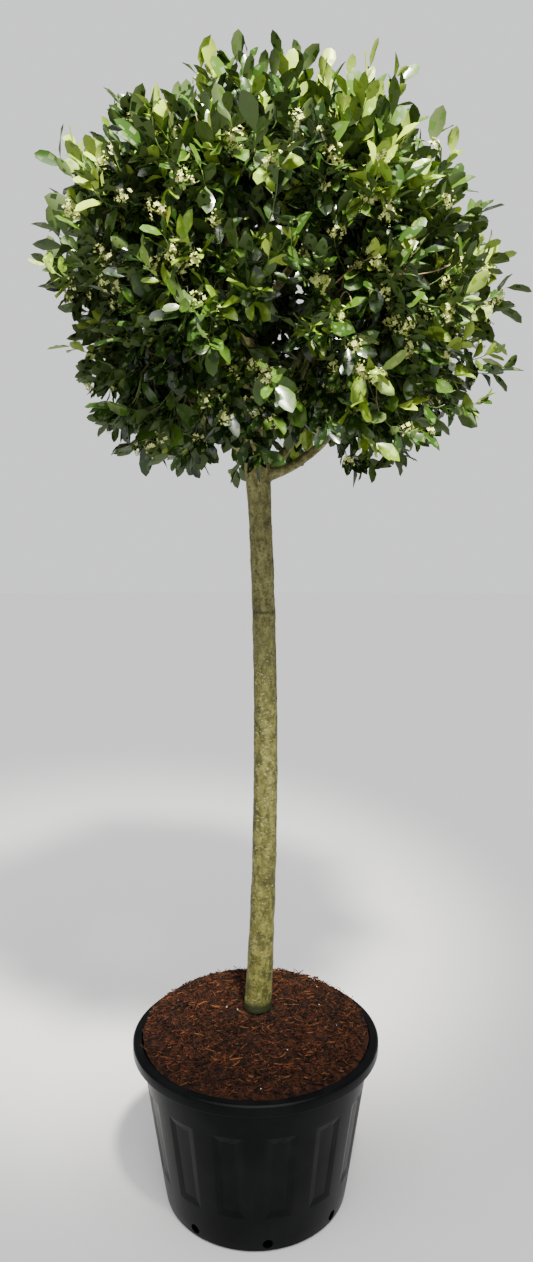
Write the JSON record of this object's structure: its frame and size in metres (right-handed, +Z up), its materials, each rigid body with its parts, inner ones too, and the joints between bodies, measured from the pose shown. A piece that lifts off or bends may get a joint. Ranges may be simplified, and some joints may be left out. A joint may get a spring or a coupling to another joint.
{
  "type": "standard holly in a pot",
  "caption": "Evergreen standard with a clipped round leafy head in blossom on a clear stem, in a tapered fluted nursery pot of potting mix.",
  "frame": {"origin": "centre of the pot's flat underside, on the surface that it stands on", "axes": "+Z up along the stem, -Y towards the side seen in the picture, +X to that view's right"},
  "size_m": [1.0284, 0.9922, 2.4677],
  "materials": {
    "pot_plastic": "satin",
    "potting_mix": "matte",
    "bark": "matte",
    "foliage": "satin"
  },
  "bodies": {
    "root": {"pot": "pot_plastic", "potting_mix": "potting_mix", "trunk": "bark", "bough_lower_1": "bark", "bough_lower_2": "bark", "bough_lower_3": "bark", "bough_lower_4": "bark", "bough_lower_5": "bark", "bough_lower_6": "bark", "bough_upper_1": "bark", "bough_upper_2": "bark", "bough_upper_3": "bark", "bough_upper_4": "bark", "bough_upper_5": "bark", "foliage_lower_1": "foliage", "foliage_lower_2": "foliage", "foliage_lower_3": "foliage", "foliage_lower_4": "foliage", "foliage_lower_5": "foliage", "foliage_lower_6": "foliage", "foliage_upper_1": "foliage", "foliage_upper_2": "foliage", "foliage_upper_3": "foliage", "foliage_upper_4": "foliage", "foliage_upper_5": "foliage", "foliage_top": "foliage"}
  },
  "joints": []
}
